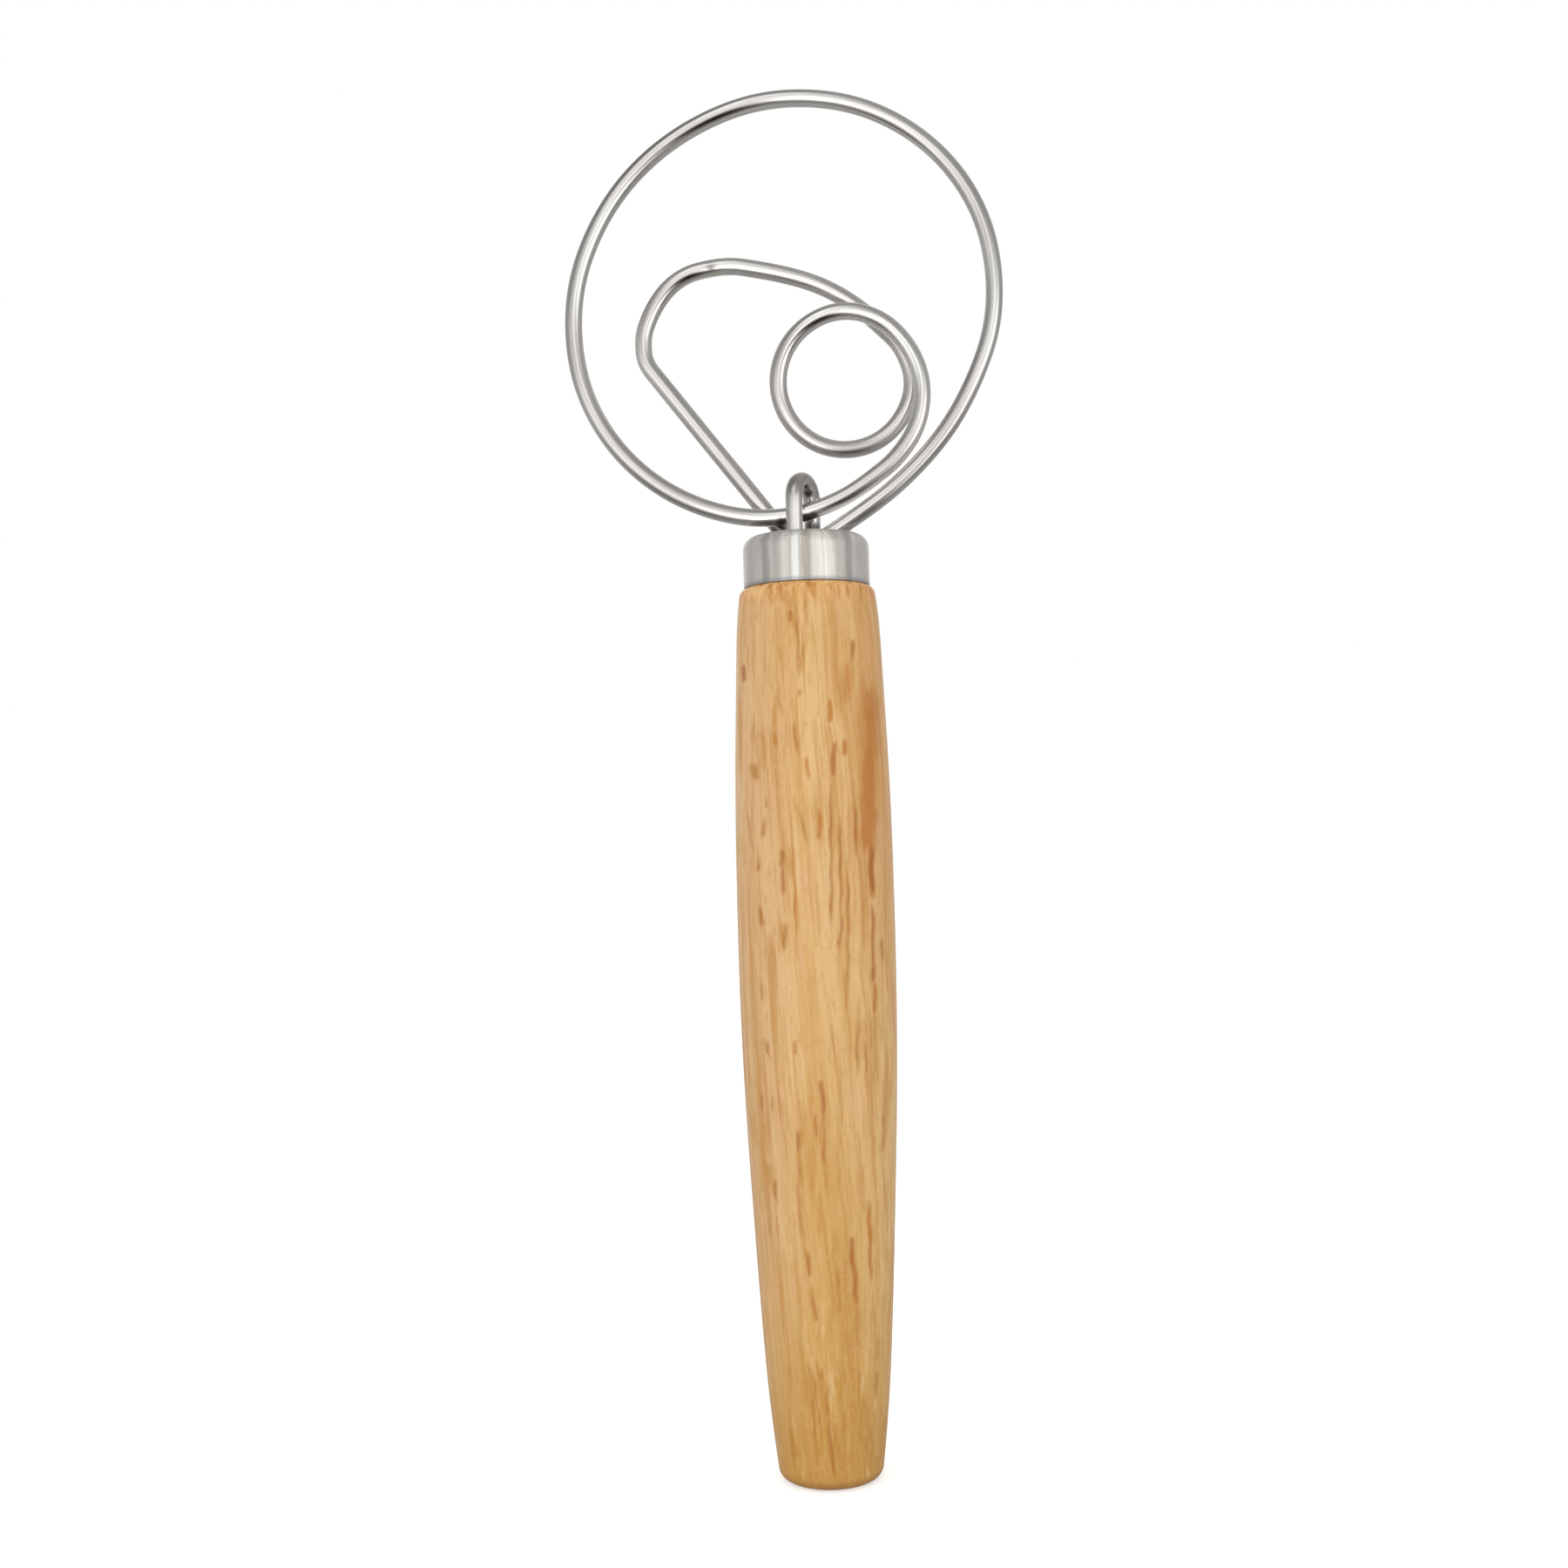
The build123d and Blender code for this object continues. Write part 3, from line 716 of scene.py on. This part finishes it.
def wood_material():
    """Honey coloured hardwood under a satin lacquer.

    Its patterns are noises stretched along the grain, which leans a little across the handle and
    wavers. The single marks come from the strokes, feathered by the flecks and the lines."""
    material, graph = new_material("honey_hardwood")
    place = graph.add("ShaderNodeTexCoord").outputs["Object"]
    split = graph.add("ShaderNodeSeparateXYZ", {0: place}).outputs
    leaning = graph.placed(place, turn=(0, grain_lean, 0))
    waver = graph.noise(graph.placed(place, scale=cell(*waver_cell)), detail=1.0)
    wave = graph.math("MULTIPLY", graph.math("SUBTRACT", waver, 0.5), waver_reach)
    offset = graph.add("ShaderNodeCombineXYZ", {"X": wave, "Y": wave}).outputs[0]
    grain = graph.add("ShaderNodeVectorMath", {0: leaning, 1: offset}, operation="ADD").outputs[0]
    pattern = {}
    for name, (across, along, shift, detail, roughness) in grain_patterns.items():
        vector = graph.placed(grain, scale=cell(across * mm, along * mm), shift=shift)
        pattern[name] = graph.noise(vector, detail=detail, roughness=roughness)
    speckled = graph.placed(place, scale=cell(0.6 * mm, 0.8 * mm), shift=(4, 4, 7))
    pattern["mottle"] = graph.noise(speckled, detail=1.0)

    light, dark = paint(236, 194, 132), paint(224, 176, 108)
    colour = graph.blend(graph.fade(pattern["bands"], 0.36, 0.64), light, dark)
    for fades, tone, strength in wood_zones:
        zone = 1.0
        for axis, start, full in fades:
            zone = graph.math("MULTIPLY", zone, graph.fade(split[axis], start * mm, full * mm))
        colour = graph.tint(colour, zone, paint(*tone), strength)
    for name, start, full, tone, strength in wood_tones:
        colour = graph.tint(colour, graph.fade(pattern[name], start, full), paint(*tone), strength)

    feather = graph.math("MULTIPLY_ADD", pattern["flecks"], 0.8, 0.3)
    feather = graph.math("MULTIPLY_ADD", pattern["lines"], 0.8, feather)
    share = {}
    for name, full, tone, strength in mark_tones:
        depth = graph.math("MULTIPLY", graph.attribute(name), feather)
        share[name] = graph.fade(depth, 0.05, full)
        colour = graph.tint(colour, share[name], paint(*tone), strength)

    height = split["Z"]
    collar = graph.fade(height, shoulder_height - collar_start, shoulder_height - collar_full)
    colour = graph.tint(colour, collar, paint(*collar_tone), 0.5)
    for start, full, tone, strength in collar_end_tones:
        ends = graph.math("MULTIPLY", collar, graph.fade(pattern["ends"], start, full))
        colour = graph.tint(colour, ends, paint(*tone), strength)
    colour = graph.tint(colour, graph.fade(height, 2.4 * mm, 0.6 * mm), paint(176, 122, 52), 0.6)

    relief = graph.math("MULTIPLY", pattern["strokes"], -0.6)
    relief = graph.math("MULTIPLY_ADD", pattern["lines"], 0.35, relief)
    relief = graph.math("MULTIPLY_ADD", share["brown_marks"], -0.2, relief)
    bump = graph.add("ShaderNodeBump", {"Height": relief, "Strength": 0.3, "Distance": 0.08 * mm})
    graph.surface(
        Base_Color=colour,
        Roughness=graph.math("MULTIPLY_ADD", pattern["lines"], 0.14, 0.36),
        Normal=bump.outputs[0],
        Coat_Weight=0.12,
        Coat_Roughness=0.3,
    )
    return material


def fine_marks_group():
    """Fine marks of drawing or brushing, as a noise from 0 to 1, and a coarser noise that says
    where the metal is a little duller."""
    tree = bpy.data.node_groups.new("fine_marks", "ShaderNodeTree")
    tree.interface.new_socket("Vector", in_out="INPUT", socket_type="NodeSocketVector")
    tree.interface.new_socket("Marks", in_out="OUTPUT", socket_type="NodeSocketFloat")
    tree.interface.new_socket("Patches", in_out="OUTPUT", socket_type="NodeSocketFloat")
    graph = Graph(tree)
    vector = graph.add("NodeGroupInput").outputs["Vector"]
    marks = graph.noise(vector, detail=3.0, roughness=0.65)
    coarse = graph.placed(vector, scale=(0.12, 0.12, 0.3), shift=(4, 1, 9))
    patches = graph.noise(coarse, detail=1.0)
    graph.add("NodeGroupOutput", {"Marks": marks, "Patches": patches})
    return tree


fine_marks = fine_marks_group()


def wire_material(name, colour, shade, polish, marks_depth, painted_shade, darkening=0.0):
    """Drawn steel wire: fine lines along it, which follow its bends, duller stretches, grey marks,
    painted shade where the wires meet and, where it is asked for, painted shade over the staple's
    crown."""
    material, graph = new_material(name)
    drawn = graph.attribute("straightened", "Vector")
    lines = {"Vector": graph.placed(drawn, scale=cell(0.24 * mm, 5 * mm))}
    marks = graph.add("ShaderNodeGroup", lines, node_tree=fine_marks).outputs
    along = graph.placed(drawn, scale=cell(2.5 * mm, 22 * mm), shift=(2, 6, 0.3))
    dull = graph.fade(graph.noise(along), 0.42, 0.66)
    tone = graph.blend(graph.fade(marks["Patches"], 0.35, 0.7), paint(*colour), paint(*shade))
    tone = graph.tint(tone, dull, paint(*shade), 0.5)
    place = graph.add("ShaderNodeTexCoord").outputs["Object"]
    height = graph.add("ShaderNodeSeparateXYZ", {0: place}).outputs["Z"]
    # Painted shade: the staple's crown is drawn darker towards its top
    crown = graph.fade(height, staple_crown - 5.5 * mm, staple_crown - 1.5 * mm)
    tone = graph.tint(tone, crown, paint(*crown_shade_tone), darkening)
    # Painted shade: near each spot the colour is drawn to the dark painted shade tone
    for x, y, z, reach, strength in painted_shade:
        shade_spot = {0: place, 1: (x * mm, y * mm, z * mm)}
        apart = graph.add("ShaderNodeVectorMath", shade_spot, operation="DISTANCE").outputs["Value"]
        shaded = graph.fade(apart, reach * mm, 0.4 * reach * mm)
        tone = graph.tint(tone, shaded, paint(*painted_shade_tone), strength)
    dullness = graph.attribute("dullness")
    tone = graph.tint(tone, dullness, paint(*dull_tone))
    # Grey marks; the one at the loop's kinked corner is painted shade of the kink's facet
    tone = graph.tint(tone, graph.attribute("grey_marks"), paint(*grey_mark_tone))
    rough = graph.math("MULTIPLY_ADD", marks["Marks"], 0.5 * polish, 0.7 * polish)
    rough = graph.math("MULTIPLY_ADD", dull, 0.9 * polish, rough)
    rough = graph.math("MULTIPLY_ADD", dullness, polish, rough)
    relief = {"Height": marks["Marks"], "Strength": 0.35, "Distance": marks_depth}
    bump = graph.add("ShaderNodeBump", relief)
    graph.surface(Base_Color=tone, Metallic=1.0, Roughness=rough, Normal=bump.outputs[0])
    return material


def cap_material():
    """Stainless sheet, brushed along the handle, with painted reflections as brighter, warmer and
    darker streaks round it, and painted lines along its edges.

    A painted reflection is a strip up the cap's wall that fades to both sides by its angle from the
    front, which the brush marks sway a little."""
    material, graph = new_material("brushed_cap")
    place = graph.add("ShaderNodeTexCoord").outputs["Object"]
    split = graph.add("ShaderNodeSeparateXYZ", {0: place}).outputs
    height = split["Z"]
    lines = {"Vector": graph.placed(place, scale=cell(0.22 * mm, 4 * mm))}
    marks = graph.add("ShaderNodeGroup", lines, node_tree=fine_marks).outputs["Marks"]
    broad = graph.noise(graph.placed(place, scale=cell(2.2 * mm, 30 * mm), shift=(1, 4, 2)))
    strips = graph.placed(place, scale=cell(0.5 * mm, 9 * mm), shift=(3, 2, 5))
    pattern = {"marks": marks, "brushed": graph.noise(strips, detail=3.0)}

    turn = graph.math("ARCTAN2", split["X"], graph.math("MULTIPLY", split["Y"], -1.0))
    sway = graph.math("MULTIPLY_ADD", pattern["brushed"], 2 * reflection_sway, -reflection_sway)
    turn = graph.math("ADD", turn, sway)
    tone = graph.blend(graph.fade(broad, 0.35, 0.65), paint(236, 232, 226), paint(212, 207, 200))
    wall = graph.fade(height, cap_top - 0.02 * mm, cap_top - 0.4 * mm)
    # Painted reflections: bright, warm and dark streaks up the wall, set by their angle from the
    # front
    for degrees, width, colour, strength in cap_painted_reflections:
        aside = graph.math("ABSOLUTE", graph.math("SUBTRACT", turn, math.radians(degrees)))
        reflection_share = graph.fade(aside, math.radians(width), math.radians(reflection_core_share * width))
        tone = graph.tint(tone, graph.math("MULTIPLY", reflection_share, wall), paint(*colour), strength)
    for name, start, full, colour, strength in cap_tones:
        tone = graph.tint(tone, graph.fade(pattern[name], start, full), paint(*colour), strength)
    # Painted reflection: a dark blue-grey line along the cap's lower edge
    rim = graph.fade(height, shoulder_height + 0.9 * mm, shoulder_height + 0.2 * mm)
    tone = graph.tint(tone, rim, paint(146, 154, 160), 0.6)
    # Painted shade: a dark line along the cap's top edge
    top_edge_shade = graph.fade(height, cap_top - 0.9 * mm, cap_top - 0.3 * mm)
    tone = graph.tint(tone, top_edge_shade, paint(150, 146, 140), 0.5)
    bump = graph.add("ShaderNodeBump", {"Height": marks, "Strength": 0.3, "Distance": 0.01 * mm})
    rough = graph.math("MULTIPLY_ADD", marks, 0.14, 0.32)
    graph.surface(Base_Color=tone, Metallic=0.5, Roughness=rough, Normal=bump.outputs[0])
    return material


def resin_material():
    """Cured resin with a cloudy tint."""
    material, graph = new_material("potting_resin")
    place = graph.add("ShaderNodeTexCoord").outputs["Object"]
    cloud = graph.noise(graph.placed(place, scale=cell(2 * mm, 2 * mm)))
    tone = graph.blend(cloud, paint(205, 192, 150), paint(170, 152, 104))
    graph.surface(Base_Color=tone, Roughness=0.45)
    return material


def dress(piece, material, slot, *nodes):
    """Gives a new piece its material, parents it to the root body and hides the nodes that it
    stands for. The slot, for its finish, is not used.
    """
    piece.data.materials.append(material)
    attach(piece, "root")
    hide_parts(*nodes)


def sheet(name, first, second, third):
    """Flat quad from a corner and the two corners beside it:
    first + u (second - first) + v (third - first)."""
    first, second, third = (np.array(corner, float) for corner in (first, second, third))
    points = np.stack([first, second, second + third - first, third])
    mesh = bpy.data.meshes.new(name)
    mesh.from_pydata(points, [], [(0, 1, 2, 3)])
    piece = bpy.data.objects.new(name, mesh)
    bpy.context.scene.collection.objects.link(piece)
    return piece


def seen_directly(graph):
    """1 for rays that see a surface straight, mirrored or through glass, 0 for falling light."""
    rays = graph.add("ShaderNodeLightPath").outputs
    mirrored = graph.math("MAXIMUM", rays["Is Camera Ray"], rays["Is Glossy Ray"])
    return graph.math("MAXIMUM", mirrored, rays["Is Transmission Ray"])


def studio_group():
    """What the steel mirrors of the studio in each direction d: the room's grey and, for each light
    with direction c, sharpness k and brightness b, b exp(k (d.c - 1))."""
    tree = bpy.data.node_groups.new("studio_light", "ShaderNodeTree")
    tree.interface.new_socket("Vector", in_out="INPUT", socket_type="NodeSocketVector")
    tree.interface.new_socket("Light", in_out="OUTPUT", socket_type="NodeSocketColor")
    graph = Graph(tree)
    way = graph.add("NodeGroupInput").outputs["Vector"]
    light = studio_room
    for x, y, z, sharpness, brightness in studio_lights:
        facing = graph.add("ShaderNodeVectorMath", {0: way, 1: (x, y, z)}, operation="DOT_PRODUCT")
        fall = graph.math("MULTIPLY_ADD", facing.outputs["Value"], sharpness, -sharpness)
        light = graph.math("MULTIPLY_ADD", graph.math("EXPONENT", fall), brightness, light)
    graph.add("NodeGroupOutput", {"Light": graph.math("MAXIMUM", light, 0.01)})
    return tree


studio_light = studio_group()


def mirrored_studio(graph):
    """The studio light in the direction of the shaded point from the middle of the wire head."""
    place = graph.add("ShaderNodeTexCoord").outputs["Object"]
    apart = graph.add("ShaderNodeVectorMath", {0: place, 1: head_middle}, operation="SUBTRACT")
    way = graph.add("ShaderNodeVectorMath", {0: apart.outputs[0]}, operation="NORMALIZE")
    light = graph.add("ShaderNodeGroup", {"Vector": way.outputs[0]}, node_tree=studio_light)
    return graph.add("ShaderNodeEmission", {"Color": light.outputs["Light"]}).outputs[0]


def make_floor():
    """Wide white floor that keeps the whisk's soft shadow, and is else as white as the backdrop."""
    half = floor_half_width
    corners = ((-half, -half, -floor_drop), (half, -half, -floor_drop), (-half, half, -floor_drop))
    floor = sheet("floor", *corners)
    material, graph = new_material("white_floor")
    paper = graph.add("ShaderNodeBsdfDiffuse", {"Color": (floor_grey, floor_grey, floor_grey, 1)})
    lift = graph.math("MULTIPLY", seen_directly(graph), floor_lift)
    glow = graph.add("ShaderNodeEmission", {"Color": (1, 1, 1, 1), "Strength": lift})
    both = graph.add("ShaderNodeAddShader", {0: paper.outputs[0], 1: glow.outputs[0]})
    graph.add("ShaderNodeOutputMaterial", {"Surface": both.outputs[0]})
    material.cycles.emission_sampling = "NONE"
    floor.data.materials.append(material)
    floor.visible_glossy = False


def make_world():
    """Even studio light, and a white backdrop for what is seen directly."""
    world = bpy.data.worlds.new("studio")
    bpy.context.scene.world = world
    world.use_nodes = True
    graph = Graph(world.node_tree)
    light = graph.add("ShaderNodeBackground", {"Color": (1, 1, 1, 1), "Strength": room_light})
    white = graph.add("ShaderNodeBackground", {"Color": (1, 1, 1, 1), "Strength": 1.0})
    choice = {0: seen_directly(graph), 1: light.outputs[0], 2: white.outputs[0]}
    both = graph.add("ShaderNodeMixShader", choice)
    graph.add("ShaderNodeOutputWorld", {"Surface": both.outputs[0]})


def make_tent():
    """Round tent about the wire head, which only shows in reflections:
    R (cos e cos a, cos e sin a, sin e)."""
    rise = turning(-90, 90, tent_rows)[1:-1, None]
    angle = np.arange(tent_columns) * 2 * np.pi / tent_columns
    across, height = np.cos(rise), np.sin(rise)
    rings = np.stack([across * np.cos(angle), across * np.sin(angle), height + 0 * angle], axis=-1)
    centre, reach = np.array(head_middle), tent_radius * up
    tent = closed_shell("studio_tent", centre + tent_radius * rings, centre - reach, centre + reach)
    material, graph = new_material("studio_tent")
    graph.add("ShaderNodeOutputMaterial", {"Surface": mirrored_studio(graph)})
    material.cycles.emission_sampling = "NONE"
    tent.data.materials.append(material)
    tent.visible_camera = False
    tent.visible_diffuse = False
    tent.visible_shadow = False
    tent.visible_transmission = False


def make_lamp(name, place, target, size, power):
    """Soft rectangular lamp, turned to its target."""
    lamp = bpy.data.lights.new(name, "AREA")
    lamp.shape = "RECTANGLE"
    lamp.size, lamp.size_y = size
    lamp.energy = power
    piece = bpy.data.objects.new(name, lamp)
    bpy.context.scene.collection.objects.link(piece)
    back_way = unit(np.array(place, float) - np.array(target, float))
    right = unit(np.cross(up, back_way))
    turn = Matrix(np.stack([right, np.cross(back_way, right), back_way], axis=-1).tolist()).to_4x4()
    piece.matrix_world = Matrix.Translation(place) @ turn
    piece.visible_glossy = False


def make_camera():
    """The photograph's camera: its up direction leans against the whisk by the roll."""
    data = bpy.data.cameras.new("camera")
    data.lens = camera_lens
    data.sensor_width = camera_sensor
    data.shift_y = camera_shift
    camera = bpy.data.objects.new("camera", data)
    bpy.context.scene.collection.objects.link(camera)
    cosine, sine = math.cos(camera_roll), math.sin(camera_roll)
    turn = Matrix(((cosine, sine, 0), (0, 0, -1), (-sine, cosine, 0))).to_4x4()
    camera.matrix_world = Matrix.Translation(camera_place) @ turn
    bpy.context.scene.camera = camera


dress(make_handle(), wood_material(), "handle_wood", "handle")
head = make_bar("bent_wire", wire_stations(), wire_radius, back, wire_spacing)
write_marks_and_dullness(head)
head_steel = wire_material(
    "polished_wire",
    colour=(248, 246, 242),
    shade=(230, 227, 222),
    polish=0.15,
    marks_depth=0.006 * mm,
    painted_shade=wire_painted_shade,
)
dress(head, head_steel, "wire_steel", "whisk_wire")
staple_facing = unit(np.cross(up, staple_leg))
staple = make_bar(
    "staple", staple_stations(), staple_radius, staple_facing, staple_spacing, staple_flattening
)
staple_steel = wire_material(
    "dull_wire",
    colour=(250, 248, 244),
    shade=(238, 235, 230),
    polish=0.22,
    marks_depth=0.008 * mm,
    painted_shade=staple_painted_shade,
    darkening=0.7,
)
dress(staple, staple_steel, "staple_steel", "wire_staple")
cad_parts["ferrule_cap"].material_slots[0].material = cap_material()
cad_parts["resin_plug"].material_slots[0].material = resin_material()

make_camera()
make_world()
make_floor()
make_tent()
make_lamp(
    "front_softbox", place=(-0.35, -1.35, 0.6), target=(0, 0, 0.12), size=(1.6, 1.2), power=5.0
)

bpy.context.scene.view_settings.view_transform = "Standard"
